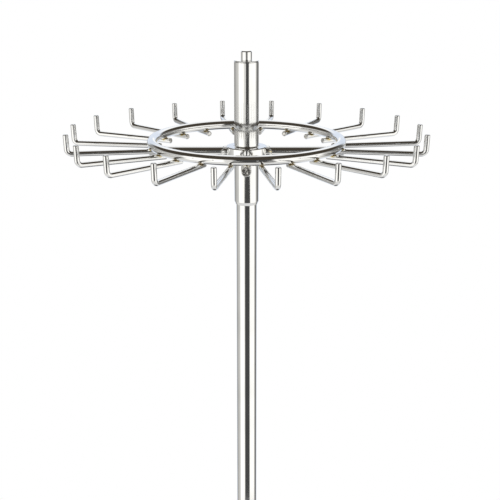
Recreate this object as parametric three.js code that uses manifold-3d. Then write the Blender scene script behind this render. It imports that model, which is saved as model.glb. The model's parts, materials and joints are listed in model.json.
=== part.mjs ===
// Rotating tie rack: a chrome ring of bent wire pegs on a sleeve that spins on a weighted floor stand.
// Millimetres, +Z up, origin on the floor under the spin axis. The front of the rack faces -Y.

import * as THREE from 'three';
import { mergeVertices } from 'three/addons/utils/BufferGeometryUtils.js';
import Module from 'manifold-3d';

const wasm = await Module();
wasm.setup();

// Fits
const WELD_GAP = 0.3; // left between welded pieces
const PRESS_GAP = 0.3; // left between pressed, screwed and stacked pieces
const RUNNING_GAP = 0.3; // between the pieces that turn on each other

// Peg wires
const PEGS_PER_BAY = 5; // between two spokes
const PEG_PLANE = 1050; // height of the wires' centrelines above the floor
const PEG_WIRE = 7; // diameter
const PEG_STUB = 9.5; // inner end, inside the ring's centreline
const PEG_REACH = 109.5; // from the ring's centreline out to the middle of the tip
const PEG_RISE = 25; // tip above the centreline
const PEG_LEAN = THREE.MathUtils.degToRad(3); // of the upturned end, outwards
const PEG_BEND = 6.35; // radius of the bend's centreline

// Ring, let down on the pegs by the weld
const RING_ROD = 12.7;
const RING_RADIUS = 122.5; // to the rod's centreline
const RING_SET_DOWN = 0.3; // depth that each peg is bedded in the ring

// Spokes, under the ring
const SPOKES = ['right', 'back', 'left', 'front'];
const SPOKE_ROD = 12.7;
const SPOKE_OVERHANG = 4; // past the ring's centreline

// Hub
const COLLAR_WALL = 10.3;
const COLLAR_HEIGHT = 14;
const COLLAR_CHAMFER = 1;
const SLEEVE_WALL = 2.075;
const SLEEVE_DROP = 73.6; // lower end below the pegs
const SLEEVE_NOSE = 4.2; // height of the drawn-in lower end
const SLEEVE_NOSE_LAND = 0.5; // wall left at the lower end
const CAP_TOP = 114.4; // above the pegs
const CAP_FLANGE = 1.5;
const CAP_EDGE = 0.6; // chamfer of the cap's upper edge
const CAP_SPIGOT = 8; // depth inside the sleeve
const CAP_ROOF = 2.4; // thickness left over the bush
const BUSH_WALL = 2;
const BUSH_FLANGE = 2.5; // thickness
const BUSH_FLANGE_CLEARANCE = 1.8; // inside the sleeve

// Spindle and the top of the post
const SPINDLE_WIDTH = 14;
const SPINDLE_RISE = 12; // above the cap
const SPINDLE_EDGE = 1.2; // chamfer of the upper end
const SPINDLE_SHOULDER = 2; // width of the step down to the stub in the plug
const THRUST_WASHER = 1.5; // thickness
const THRUST_WASHER_INSET = 1; // from the plug's edge
const PLUG_FLANGE = 3;
const PLUG_DEPTH = 22;
const POST_WIDTH = 27;
const POST_WALL = 2;

// Foot of the post
const FOOT_PLUG_DEPTH = 30;
const BOLT_WIDTH = 12;
const BOLT_REACH = 22; // into the foot plug
const BOLT_HEAD = 7.5; // height
const BOLT_FLATS = 18; // across the flats
const BASE_WASHER = 2.5; // thickness
const BASE_WASHER_WIDTH = 30;
const FLANGE_FLARE = 14.2; // width of the hollow cone
const FLANGE_HEIGHT = 14;
const FLANGE_LAND = 3; // width of the upper rim round the post
const FLANGE_EDGE = 3; // height of the upright outer edge

// Base
const COVER_WIDTH = 400;
const COVER_HEIGHT = 30;
const COVER_FLAT_MARGIN = 14; // flat middle round the escutcheon
const COVER_SHEET = 1.5;
const COVER_RIM = 6; // height where the dome turns into the upright rim
const COVER_FLOOR_GAP = 1.5;
const WEIGHT_MARGIN = 50; // from the cover's edge
const WEIGHT_FLOOR_GAP = 5;
const BOLT_FLOOR_GAP = 3.4; // under the bolt's head
const BOLT_POCKET_CLEARANCE = 3; // round the washer
const FOOT_COUNT = 4;
const FOOT_WIDTH = 30;
const FOOT_MARGIN = 7; // from the weight's edge
const FOOT_RECESS = 2; // depth that each foot is let into the weight
const FOOT_EDGE = 1; // chamfer of the lower edge

// Facets
const WIRE_SIDES = 10;
const BEND_STEPS = 5;
const ROD_SIDES = 12;
const RING_STEPS = 80;
const TURNED_SIDES = 32;
const BASE_SIDES = 48;
const DOME_STEPS = 7;
const FOOT_SIDES = 20;

// Heights in the head, from the peg plane
const ringZ = PEG_WIRE / 2 + RING_ROD / 2 - RING_SET_DOWN;
const spokeZ = ringZ - RING_ROD / 2 - WELD_GAP - SPOKE_ROD / 2;
const capSeat = CAP_TOP - CAP_FLANGE;
const capFoot = capSeat - CAP_SPIGOT;
const bushTop = CAP_TOP - CAP_ROOF - PRESS_GAP;
const bushShoulder = capFoot - PRESS_GAP;
const bushFoot = bushShoulder - BUSH_FLANGE;

// Heights on the stand, from the floor
const washerTop = PEG_PLANE + bushFoot - RUNNING_GAP;
const plugTop = washerTop - THRUST_WASHER - PRESS_GAP;
const postTop = plugTop - PLUG_FLANGE - PRESS_GAP;
const postFoot = COVER_HEIGHT + PRESS_GAP;
const boltShoulder = BOLT_FLOOR_GAP + BOLT_HEAD;
const pocketRoof = boltShoulder + PRESS_GAP + BASE_WASHER + PRESS_GAP;

// Radii that fit one piece in another
const postRadius = POST_WIDTH / 2;
const postBore = postRadius - POST_WALL;
const sleeveBore = postRadius + RUNNING_GAP;
const sleeveRadius = sleeveBore + SLEEVE_WALL;
const spindleRadius = SPINDLE_WIDTH / 2;
const bushBore = spindleRadius + RUNNING_GAP;
const bushRadius = bushBore + BUSH_WALL;
const bushFlangeRadius = sleeveBore - BUSH_FLANGE_CLEARANCE;
const stubRadius = spindleRadius - SPINDLE_SHOULDER;
const collarBore = sleeveRadius + WELD_GAP;
const collarRadius = collarBore + COLLAR_WALL;
const boltHole = BOLT_WIDTH / 2 + PRESS_GAP;
const flangeBore = postRadius + PRESS_GAP;
const flangeRim = flangeBore + FLANGE_LAND;
const flangeRadius = flangeRim + FLANGE_FLARE;
const coverFlat = flangeRadius + COVER_FLAT_MARGIN;
const weightRadius = COVER_WIDTH / 2 - WEIGHT_MARGIN;
const footCircle = weightRadius - FOOT_MARGIN - FOOT_WIDTH / 2;

// Finishes
const chrome = () => new THREE.MeshStandardMaterial({ color: 0xd9dbdf, metalness: 1, roughness: 0.08 });
const steel = () => new THREE.MeshStandardMaterial({ color: 0xa9abad, metalness: 1, roughness: 0.35 });
const acetal = () => new THREE.MeshStandardMaterial({ color: 0xe9e7df, metalness: 0, roughness: 0.5 });
const castIron = () => new THREE.MeshStandardMaterial({ color: 0x3a3a3b, metalness: 0.6, roughness: 0.75 });
const rubber = () => new THREE.MeshStandardMaterial({ color: 0x1c1c1d, metalness: 0, roughness: 0.85 });

// A closed geometry as a solid that can be joined and cut.
function solid(geometry) {
  const bare = new THREE.BufferGeometry();
  bare.setAttribute('position', geometry.getAttribute('position'));
  bare.setIndex(geometry.getIndex());
  const merged = mergeVertices(bare);
  const corners = merged.getIndex().array;
  const triVerts = [];
  for (let i = 0; i < corners.length; i += 3) {
    const [a, b, c] = corners.slice(i, i + 3);
    // Triangles that a revolve folds flat on its axis are left out.
    if (a !== b && b !== c && c !== a) triVerts.push(a, b, c);
  }
  return new wasm.Manifold(new wasm.Mesh({
    numProp: 3,
    vertProperties: merged.getAttribute('position').array,
    triVerts: Uint32Array.from(triVerts),
  }));
}

// The named mesh of a solid, added to its group.
function add(group, name, body, material) {
  const { vertProperties, triVerts } = body.getMesh();
  const geometry = new THREE.BufferGeometry();
  geometry.setAttribute('position', new THREE.BufferAttribute(vertProperties, 3));
  geometry.setIndex(new THREE.BufferAttribute(triVerts, 1));
  geometry.computeVertexNormals();
  const mesh = new THREE.Mesh(geometry, material);
  mesh.name = name;
  group.add(mesh);
  return mesh;
}

// A turned piece: its profile runs [radius, height] out along the bottom, up the outside and back in.
function turned(profile, sides = TURNED_SIDES) {
  const points = profile.map(([radius, height]) => new THREE.Vector2(radius, height));
  if (profile[0][0] > 0) points.push(points[0].clone());
  return solid(new THREE.LatheGeometry(points, sides).rotateX(Math.PI / 2));
}

// A plain round tube or washer between two radii and two heights.
function tube(inner, outer, low, high) {
  return turned([[inner, low], [outer, low], [outer, high], [inner, high]]);
}

// A round bar along +X.
function bar(radius, start, end, sides) {
  return new THREE.CylinderGeometry(radius, radius, end - start, sides)
    .rotateZ(-Math.PI / 2)
    .translate((start + end) / 2, 0, 0);
}

// The centreline of a peg: a straight run along +X, the bend, and the leaning upturned end.
class PegLine extends THREE.Curve {
  constructor() {
    super();
    this.turn = Math.PI / 2 - PEG_LEAN;
    this.tip = new THREE.Vector3(RING_RADIUS + PEG_REACH, 0, PEG_RISE);
    const elbow = this.tip.x - PEG_RISE * Math.tan(PEG_LEAN);
    this.bendStart = elbow - PEG_BEND * Math.tan(this.turn / 2);
    this.steps = BEND_STEPS + 2;
  }

  // Each step has an equal share of the line: one for the run, one for the end, the rest for the bend.
  getUtoTmapping(share) {
    return share;
  }

  onBend(angle) {
    return new THREE.Vector3(
      this.bendStart + PEG_BEND * Math.sin(angle), 0, PEG_BEND * (1 - Math.cos(angle)));
  }

  getPoint(share, target = new THREE.Vector3()) {
    const step = share * this.steps;
    if (step <= 1) {
      return target.set(THREE.MathUtils.lerp(RING_RADIUS - PEG_STUB, this.bendStart, step), 0, 0);
    }
    const bent = (step - 1) / BEND_STEPS;
    if (bent <= 1) return target.copy(this.onBend(this.turn * bent));
    return target.lerpVectors(this.onBend(this.turn), this.tip, step - 1 - BEND_STEPS);
  }
}

function peg() {
  const line = new PegLine();
  const section = new THREE.Shape().absarc(0, 0, PEG_WIRE / 2, 0, 2 * Math.PI);
  return solid(new THREE.ExtrudeGeometry(section, {
    extrudePath: line, steps: line.steps, curveSegments: WIRE_SIDES / 2, bevelEnabled: false }));
}

// Half a pitch off the spokes, so that no peg lies over one.
const pegCount = SPOKES.length * PEGS_PER_BAY;
const pegAngle = (i) => (i + 0.5) * 2 * Math.PI / pegCount;

// The ring has a shallow seat in its underside for each peg.
function ring() {
  const rod = new THREE.TorusGeometry(RING_RADIUS, RING_ROD / 2, ROD_SIDES, RING_STEPS);
  let body = solid(rod.translate(0, 0, ringZ));
  const seatRadius = PEG_WIRE / 2 + WELD_GAP;
  for (let i = 0; i < pegCount; i++) {
    const seat = bar(seatRadius, RING_RADIUS - RING_ROD, RING_RADIUS + RING_ROD, WIRE_SIDES);
    body = body.subtract(solid(seat.rotateZ(pegAngle(i))));
  }
  return body;
}

function spoke() {
  const start = collarRadius + WELD_GAP;
  return solid(bar(SPOKE_ROD / 2, start, RING_RADIUS + SPOKE_OVERHANG, ROD_SIDES).translate(0, 0, spokeZ));
}

// Centred on the spokes, with its two outer edges broken.
function collar() {
  const low = spokeZ - COLLAR_HEIGHT / 2;
  const high = spokeZ + COLLAR_HEIGHT / 2;
  return turned([
    [collarBore, low], [collarRadius - COLLAR_CHAMFER, low], [collarRadius, low + COLLAR_CHAMFER],
    [collarRadius, high - COLLAR_CHAMFER], [collarRadius - COLLAR_CHAMFER, high], [collarBore, high],
  ]);
}

function sleeve() {
  const rim = capSeat - PRESS_GAP;
  return turned([
    [sleeveBore, -SLEEVE_DROP], [sleeveBore + SLEEVE_NOSE_LAND, -SLEEVE_DROP],
    [sleeveRadius, SLEEVE_NOSE - SLEEVE_DROP], [sleeveRadius, rim], [sleeveBore, rim],
  ]);
}

// A flange on the sleeve's rim, a spigot inside it, and a stepped bore for the bush and the spindle.
function cap() {
  const spigot = sleeveBore - PRESS_GAP;
  const bushSeat = bushRadius + PRESS_GAP;
  const bore = spindleRadius + 2 * RUNNING_GAP;
  return turned([
    [bushSeat, capFoot], [spigot, capFoot], [spigot, capSeat], [sleeveRadius, capSeat],
    [sleeveRadius, CAP_TOP - CAP_EDGE], [sleeveRadius - CAP_EDGE, CAP_TOP], [bore, CAP_TOP],
    [bore, CAP_TOP - CAP_ROOF], [bushSeat, CAP_TOP - CAP_ROOF],
  ]);
}

function bush() {
  return turned([
    [bushBore, bushFoot], [bushFlangeRadius, bushFoot], [bushFlangeRadius, bushShoulder],
    [bushRadius, bushShoulder], [bushRadius, bushTop], [bushBore, bushTop],
  ]);
}

// A shoulder on the plug, the running length through washer and bush, and the end that shows.
function spindle() {
  const top = PEG_PLANE + CAP_TOP + SPINDLE_RISE;
  const shoulder = plugTop + PRESS_GAP;
  return turned([
    [0, plugTop - PLUG_DEPTH], [stubRadius, plugTop - PLUG_DEPTH], [stubRadius, shoulder],
    [spindleRadius, shoulder], [spindleRadius, top - SPINDLE_EDGE],
    [spindleRadius - SPINDLE_EDGE, top], [0, top],
  ]);
}

function postPlug() {
  const bore = stubRadius + PRESS_GAP;
  const spigot = postBore - PRESS_GAP;
  const low = plugTop - PLUG_DEPTH;
  const shoulder = plugTop - PLUG_FLANGE;
  return turned([
    [bore, low], [spigot, low], [spigot, shoulder],
    [postRadius, shoulder], [postRadius, plugTop], [bore, plugTop],
  ]);
}

// A hexagon head in the weight's pocket, and the shank that draws the post down on the base.
function bolt() {
  const headRadius = BOLT_FLATS / Math.sqrt(3);
  const head = new THREE.CylinderGeometry(headRadius, headRadius, BOLT_HEAD, 6)
    .rotateX(Math.PI / 2)
    .translate(0, 0, boltShoulder - BOLT_HEAD / 2);
  const shankLow = boltShoulder - BOLT_HEAD / 2;
  const shankHigh = postFoot + BOLT_REACH;
  const shankRadius = BOLT_WIDTH / 2;
  const shank = turned([[0, shankLow], [shankRadius, shankLow], [shankRadius, shankHigh], [0, shankHigh]]);
  return solid(head).add(shank);
}

// A spun escutcheon: an upright edge, then a hollow cone up to a rim round the post.
function flange() {
  const low = COVER_HEIGHT + PRESS_GAP;
  const profile = [[flangeBore, low], [flangeRadius, low]];
  const edge = low + FLANGE_EDGE;
  const high = low + FLANGE_HEIGHT;
  for (let i = 0; i <= DOME_STEPS; i++) {
    const angle = (Math.PI / 2) * i / DOME_STEPS;
    profile.push([flangeRadius - FLANGE_FLARE * Math.sin(angle), high - (high - edge) * Math.cos(angle)]);
  }
  profile.push([flangeBore, high]);
  return turned(profile);
}

// A quarter ellipse from the base's flat middle out and down to its rim, drawn in by an inset.
function dome(inset, angle) {
  const reach = COVER_WIDTH / 2 - inset - coverFlat;
  const fall = COVER_HEIGHT - inset - COVER_RIM;
  return [coverFlat + reach * Math.sin(angle), COVER_RIM + fall * Math.cos(angle)];
}

// A pressed dish of sheet, open below, with a hole for the bolt.
function cover() {
  const outer = COVER_WIDTH / 2;
  const profile = [[outer - COVER_SHEET, COVER_FLOOR_GAP], [outer, COVER_FLOOR_GAP]];
  for (let i = 0; i <= DOME_STEPS; i++) profile.push(dome(0, (Math.PI / 2) * (1 - i / DOME_STEPS)));
  profile.push([boltHole, COVER_HEIGHT], [boltHole, COVER_HEIGHT - COVER_SHEET]);
  for (let i = 0; i <= DOME_STEPS; i++) profile.push(dome(COVER_SHEET, (Math.PI / 2) * i / DOME_STEPS));
  return turned(profile, BASE_SIDES);
}

// A cast disc that fills the dish, with a pocket for the bolt's head and a recess for each foot.
function weight() {
  const inset = COVER_SHEET + PRESS_GAP;
  const pocket = BASE_WASHER_WIDTH / 2 + BOLT_POCKET_CLEARANCE;
  const edge = Math.asin((weightRadius - coverFlat) / (COVER_WIDTH / 2 - inset - coverFlat));
  const profile = [[pocket, WEIGHT_FLOOR_GAP], [weightRadius, WEIGHT_FLOOR_GAP]];
  for (let i = 0; i <= DOME_STEPS; i++) profile.push(dome(inset, edge * (1 - i / DOME_STEPS)));
  profile.push([boltHole, COVER_HEIGHT - inset], [boltHole, pocketRoof], [pocket, pocketRoof]);
  let body = turned(profile, BASE_SIDES);
  const recess = new THREE.CylinderGeometry(
    FOOT_WIDTH / 2 + PRESS_GAP, FOOT_WIDTH / 2 + PRESS_GAP, 2 * (FOOT_RECESS + PRESS_GAP), FOOT_SIDES)
    .rotateX(Math.PI / 2);
  for (let i = 0; i < FOOT_COUNT; i++) {
    const [x, y] = footPlace(i);
    body = body.subtract(solid(recess.clone().translate(x, y, WEIGHT_FLOOR_GAP)));
  }
  return body;
}

// Feet stand on the diagonals.
function footPlace(i) {
  const angle = (i + 0.5) * 2 * Math.PI / FOOT_COUNT;
  return [footCircle * Math.cos(angle), footCircle * Math.sin(angle)];
}

function foot() {
  const outer = FOOT_WIDTH / 2;
  const high = WEIGHT_FLOOR_GAP + FOOT_RECESS;
  return turned([[0, 0], [outer - FOOT_EDGE, 0], [outer, FOOT_EDGE], [outer, high], [0, high]], FOOT_SIDES);
}

// The head turns on the spin axis, with its own zero at the peg plane.
const head = new THREE.Group();
head.position.z = PEG_PLANE;

const pegSolid = peg();
for (let i = 0; i < pegCount; i++) {
  const number = String(i + 1).padStart(2, '0');
  add(head, `peg_${number}`, pegSolid, chrome()).rotation.z = pegAngle(i);
}
add(head, 'ring', ring(), chrome());

const spokeSolid = spoke();
SPOKES.forEach((side, i) => {
  add(head, `spoke_${side}`, spokeSolid, chrome()).rotation.z = i * 2 * Math.PI / SPOKES.length;
});
add(head, 'hub_collar', collar(), chrome());
add(head, 'hub_sleeve', sleeve(), chrome());
add(head, 'sleeve_cap', cap(), chrome());
add(head, 'spindle_bush', bush(), acetal());

// The stand carries the head and stays still.
const stand = new THREE.Group();
add(stand, 'spindle', spindle(), chrome());
add(stand, 'thrust_washer',
  tube(spindleRadius + PRESS_GAP, postRadius - THRUST_WASHER_INSET, washerTop - THRUST_WASHER, washerTop),
  steel());
add(stand, 'post_plug', postPlug(), steel());
add(stand, 'post', tube(postBore, postRadius, postFoot, postTop), chrome());
add(stand, 'foot_plug',
  tube(boltHole, postBore - PRESS_GAP, postFoot, postFoot + FOOT_PLUG_DEPTH), steel());
add(stand, 'base_flange', flange(), chrome());
add(stand, 'base_cover', cover(), chrome());
add(stand, 'base_weight', weight(), castIron());
add(stand, 'base_washer',
  tube(boltHole, BASE_WASHER_WIDTH / 2, boltShoulder + PRESS_GAP, pocketRoof - PRESS_GAP), steel());
add(stand, 'base_bolt', bolt(), steel());
const footSolid = foot();
for (let i = 0; i < FOOT_COUNT; i++) {
  add(stand, `foot_${i + 1}`, footSolid, rubber()).position.set(...footPlace(i), 0);
}

const rack = new THREE.Group();
rack.add(stand, head);

export default rack;
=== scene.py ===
# Rotating tie rack: bright chrome pegs on a ring that spins over a weighted stand, in a white studio.
import json
import math

import bmesh
import bpy
from bpy.props import FloatProperty, FloatVectorProperty, PointerProperty
from mathutils import Matrix, Vector, noise


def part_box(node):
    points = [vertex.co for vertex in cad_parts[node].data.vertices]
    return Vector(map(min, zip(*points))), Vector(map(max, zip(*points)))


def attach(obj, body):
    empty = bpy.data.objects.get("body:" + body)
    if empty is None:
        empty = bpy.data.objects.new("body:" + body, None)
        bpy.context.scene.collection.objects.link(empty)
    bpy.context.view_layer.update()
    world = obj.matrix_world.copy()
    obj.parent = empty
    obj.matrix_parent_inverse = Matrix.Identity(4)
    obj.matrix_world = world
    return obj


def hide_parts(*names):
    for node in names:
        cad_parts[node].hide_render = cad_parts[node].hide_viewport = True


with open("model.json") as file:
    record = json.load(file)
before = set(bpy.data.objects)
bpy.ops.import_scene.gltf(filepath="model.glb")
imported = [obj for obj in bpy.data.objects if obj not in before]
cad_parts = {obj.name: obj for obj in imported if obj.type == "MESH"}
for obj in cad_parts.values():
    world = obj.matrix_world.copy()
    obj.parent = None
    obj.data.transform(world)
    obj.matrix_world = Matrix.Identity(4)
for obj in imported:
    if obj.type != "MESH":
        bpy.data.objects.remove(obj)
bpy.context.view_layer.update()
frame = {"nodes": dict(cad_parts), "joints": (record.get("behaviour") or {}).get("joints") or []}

bl_info = {
    "name": "Rotating Tie Rack",
    "version": (1, 0, 0),
    "blender": (4, 5, 0),
    "location": "View3D > Sidebar > Tie Rack",
    "description": "Makes the chrome pegs, ring, hub, post and base of a rotating tie rack, and its studio",
    "category": "Object",
}

# Places that the frame gives, in metres
PEG_PLANE = frame["joints"][0]["pos_m"][2]
PEG_NODES = sorted(name for name in frame["nodes"] if name.startswith("peg_"))
SPOKE_NODES = sorted(name for name in frame["nodes"] if name.startswith("spoke_"))
FOOT_NODES = sorted(name for name in frame["nodes"] if name.startswith("foot_") and name[-1].isdigit())

# Facets
WIRE_SIDES = 28
ROD_SIDES = 40
RING_STEPS = 400
TURNED_SIDES = 112
BOLT_SIDES = 48
FLOOR_SIDES = 96
ROUND_STEPS = 5
BEND_STEPS = 18
DOME_STEPS = 28
BEAD_SIDES = 12
BEAD_STEPS = 96
FLASH_STEPS = 24
SEAT_STEPS = 48
THREAD_STEPS = 8

# Points along a bar are about this far apart, in metres
BAR_STEP = 0.0016

# Closer than this, two points are one, and a bend of less than this in radians is straight
SAME = 1e-6
STRAIGHT = 1e-3

# A rounding takes up this share of the shorter edge beside it at most, and a point holds the flat a little
# further on. Corners wider than the last of these are left as they are.
ROUND_SHARE = 0.4
HOLD_SHARE = 0.1
WIDE_CORNER = math.radians(172)

# Place of the inner ring of points on the face of a cut end, as a share of its radius
CUT_RING = 0.75

# Weld beads: how far ripples and an uneven feed change their size, and how fast the feed changes along them
RIPPLE_DEPTH = 0.07
FEED_DEPTH = 0.22
FEED_RATE = 0.4

# A spoke's bead on top, where spoke and collar are level, as a share of its full height and leg, and how far
# down the rod it is full, in radii of the rod
BEAD_TOP_HEIGHT = 0.2
BEAD_TOP_LEG = 0.5
BEAD_FULL = 0.6

# Heat tint: how far its edge wanders, and how fast, as shares of its reach
RAGGED_DEPTH = 0.35
RAGGED_RATE = 2.5

# Base bolt: depth of a rolled thread in pitches, where the head's chamfer starts as a share of half the
# width across flats, the chamfer's slope, and the angle from which an edge is sharp
THREAD_DEPTH = 0.54
CHAMFER_START = 0.95
CHAMFER_SLOPE = math.radians(30)
SHARP_EDGE = math.radians(35)

# Dish under a foot: radii of its rim and its floor as shares of the foot's radius
DISH_RIM = 0.6
DISH_FLOOR = 0.55

# A ring wave of scale 1 repeats after this many metres
RING_WAVE = 0.314

# The studio's walls as the chrome sees them: bearings in degrees, 0 behind the camera and 90 to its right,
# with a brightness. White softboxes stand left and right of the camera with a pale wall between them, and
# the walls run back grey on the left and dark on the right. All have a warm tint.
WALLS = (
    (-180, 0.32), (-148, 0.34), (-128, 0.38), (-120, 0.52), (-100, 0.62), (-79, 0.72), (-75, 1.3),
    (-27, 1.3), (-24, 0.84), (22, 0.84), (25, 1.2), (92, 1.25), (100, 0.7), (115, 0.25), (140, 0.13),
    (180, 0.15))
WALL_TINT = (1.0, 0.988, 0.955)

# What else the chrome sees, in linear light: the dark opening behind the camera, the floor far out, the cool
# white paper behind the rack, the lamp on its middle, its roll overhead in full light, and the dark ceiling.
# Matt surfaces are lit by the ambient grey, and the camera sees white.
OPENING = (0.07, 0.07, 0.07)
FAR_FLOOR = (0.82, 0.81, 0.78)
BACK_PAPER = (0.80, 0.87, 0.99)
PAPER_LAMP = (1.12, 1.12, 1.12)
PAPER_ROLL = (1.2, 1.2, 1.2)
CEILING = (0.060, 0.050, 0.038)
AMBIENT = (0.55, 0.55, 0.55)
WHITE = (1, 1, 1)

# Where these lie, in degrees: the opening's bearing, the lamp's height, and the lamp's faint and full radius
OPENING_BEARING = 8.3
LAMP_LIFT = 3.5
LAMP_RADII = (7.5, 4.5)

# Angles that change with another one: that other, where the change starts and ends, and the angle there.
# lift is the angle above level, and turned the angle away from straight behind the camera to either side.
SPANS = {
    "opening_half": ("lift", -7, -2, 13.8, 23),
    "opening_foot": ("lift", -10, -13.5, 0, 13),
    "ceiling_drop": ("turned", 60, 110, 0, 10),
}

# Edges of the studio's parts: the angle that runs across the edge, where the part starts, where it is full,
# and how it blends in. outside is the angle from the opening's side, raised the lift with the ceiling's drop
# added, and tilt the angle from level behind the camera up over the rack and down behind it.
EDGES = {
    "opening": ("outside", 3, -3, "SMOOTHSTEP"),
    "far_floor": ("lift", -29, -39, "SMOOTHSTEP"),
    "paper_sides": ("turned", 142, 154, "SMOOTHSTEP"),
    "paper_hung": ("lift", -6, -1, "LINEAR"),
    "paper_swept": ("lift", -11.5, -14, "LINEAR"),
    "roll": ("tilt", 72, 148, "SMOOTHSTEP"),
    "roll_lit": ("lift", 17, 32, "LINEAR"),
    "ceiling": ("raised", 21, 31, "SMOOTHSTEP"),
}

# The paper floor as the chrome sees it, as a glow with a painted shadow: dark round a spot behind the rack,
# where the rack's shadow would fall, and pale from there on
PAINTED_SHADOW_SPOT = (0, 0.33, 0)
PAINTED_SHADOW_REACH = (0.46, 0.60)
PAINTED_SHADOW_AND_FLOOR_GLOW = (0.08, 0.82)

# Lamps: place and size in metres, share of the key lamp's power, and the spot that they point at
LAMPS = {"key_lamp": ((-1.1, -1.3, 2.9), 1.8, 1.0), "fill_lamp": ((1.5, -0.8, 2.4), 1.6, 0.5)}
LAMP_AIM = Vector((0, 0, 0.5))


def linear(code):
    """A colour in linear light from its sRGB hex value."""
    shades = [int(code[i:i + 2], 16) / 255 for i in (1, 3, 5)]
    return [s / 12.92 if s <= 0.04045 else ((s + 0.055) / 1.055) ** 2.4 for s in shades]


def length(name, text, default):
    """A length in metres that a user can change."""
    return FloatProperty(name=name, description=text, default=default, unit="LENGTH", precision=5)


def colour(name, text, code):
    """A colour that a user can change, from its sRGB hex value."""
    return FloatVectorProperty(
        name=name, description=text, default=linear(code), subtype="COLOR", min=0, max=1)


class TieRackSizes(bpy.types.PropertyGroup):
    """Sizes that shape the rack's pieces."""

    wire: length("Peg wire", "Diameter of the peg wires", 0.007)
    stub: length("Peg stub", "Inner end of a peg, inside the ring's centreline", 0.0095)
    reach: length("Peg reach", "Ring's centreline out to the middle of a peg's tip", 0.1095)
    rise: length("Peg rise", "Tip of a peg above its straight run", 0.025)
    lean: FloatProperty(name="Peg lean", description="Outward lean of the upturned end",
                        default=math.radians(3), subtype="ANGLE")
    bend: length("Peg bend", "Radius of a peg's bend", 0.00635)
    cut_edge: length("Cut edge", "Rounding of a cut end's edge, ground and plated", 0.0011)
    turned_edge: length("Turned edge", "Rounding of the edges of turned pieces", 0.0004)
    flash: length("Weld flash", "Radius of the metal squeezed out where a peg is welded to the ring", 0.0006)
    bead: length("Spoke bead", "Height of the weld bead round a spoke's inner end", 0.0022)
    bead_leg: length("Bead leg", "How far that bead runs out along the spoke", 0.0072)
    ripple: length("Bead ripple", "Spacing of the ripples along a weld bead", 0.0021)
    seat: length("Spoke seat", "Radius of the small bead where a spoke carries the ring", 0.0036)
    seat_overlap: length("Seat overlap", "How far that bead bites into spoke and ring", 0.0005)
    fillet: length("Brazed fillet", "Size of the fillet between collar and sleeve", 0.0012)
    heat_reach: length("Heat tint", "How far the heat tint runs from a weld", 0.0065)
    flange_land: length("Escutcheon land", "Width of the escutcheon's upper rim", 0.003)
    flange_edge: length("Escutcheon edge", "Height of the escutcheon's upright edge", 0.003)
    press: length("Press gap", "Gap between the post and the escutcheon's bore", 0.0003)
    cover_flat: length("Base flat", "Radius of the flat middle of the base cover", 0.045)
    cover_rim: length("Base rim", "Height at which the base cover turns upright", 0.006)
    cover_sheet: length("Base sheet", "Sheet that the base cover is spun from", 0.0015)
    cover_hole: length("Base hole", "Radius of the bolt's hole in the base cover", 0.0063)
    thread: length("Thread pitch", "Pitch of the base bolt's thread", 0.00175)
    bolt: length("Bolt", "Diameter of the base bolt", 0.012)
    bolt_head: length("Bolt head", "Height of the base bolt's head", 0.0075)
    foot_edge: length("Foot edge", "Rounding of a rubber foot's edges", 0.0012)
    foot_dish: length("Foot dish", "Depth of the dish under a rubber foot", 0.0012)


class TieRackFinishes(bpy.types.PropertyGroup):
    """Colours of the rack's finishes."""

    chrome: colour("Chrome", "Bright chrome plate", "#EEEEED")
    chrome_haze: colour("Chrome haze", "Chrome plate under a faint film", "#DCDDDB")
    straw: colour("Straw tint", "Palest heat tint, furthest from the weld", "#E6D7A6")
    gold: colour("Gold tint", "Heat tint nearer the weld", "#CBB47C")
    bronze: colour("Bronze tint", "Heat tint beside the weld", "#6B5A42")
    blue: colour("Blue tint", "Heat tint at the weld", "#4A5468")
    weld: colour("Weld metal", "Plated weld metal", "#E6E6E4")
    sheared: colour("Cut face", "Plate over the sheared end of a wire or rod", "#E2E0DC")
    torn: colour("Torn cut face", "Deeper torn patches of a sheared end", "#A8A49D")
    zinc: colour("Zinc plate", "Zinc plated steel", "#B9BBBE")
    zinc_yellow: colour("Zinc passivation", "Yellow cast of the passivated zinc", "#B8AE93")
    acetal: colour("Acetal", "Natural acetal resin", "#ECEAE2")
    iron: colour("Cast iron", "Black paint on cast iron", "#2F2F31")
    rubber: colour("Rubber", "Black moulded rubber", "#1E1E1F")
    rubber_dust: colour("Rubber dust", "Dust in the rubber's skin", "#4A4947")


class TieRackStudio(bpy.types.PropertyGroup):
    """Camera and studio."""

    focal_length: FloatProperty(name="Lens", description="Focal length in millimetres", default=90.3)
    camera_aside: length("Camera aside", "Camera to the right of the spin axis", 0.0045)
    camera_back: length("Camera distance", "Camera in front of the spin axis", 1.6016)
    camera_above: length("Camera height", "Camera above the pegs", 0.3232)
    camera_pitch: FloatProperty(name="Camera pitch", description="Camera's tilt below level",
                                default=math.radians(16.04), subtype="ANGLE")
    floor_radius: length("Floor", "Radius of the paper floor", 1.05)
    floor_near: length("Floor fade start", "Where the floor starts to run into the white background", 0.45)
    floor_far: length("Floor fade end", "Where the floor has run into the white background", 0.95)
    paper: colour("Paper", "Matt grey paper", "#C6C6C4")
    key_power: FloatProperty(name="Key lamp", description="Power of the large lamp in watts", default=62)


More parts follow.
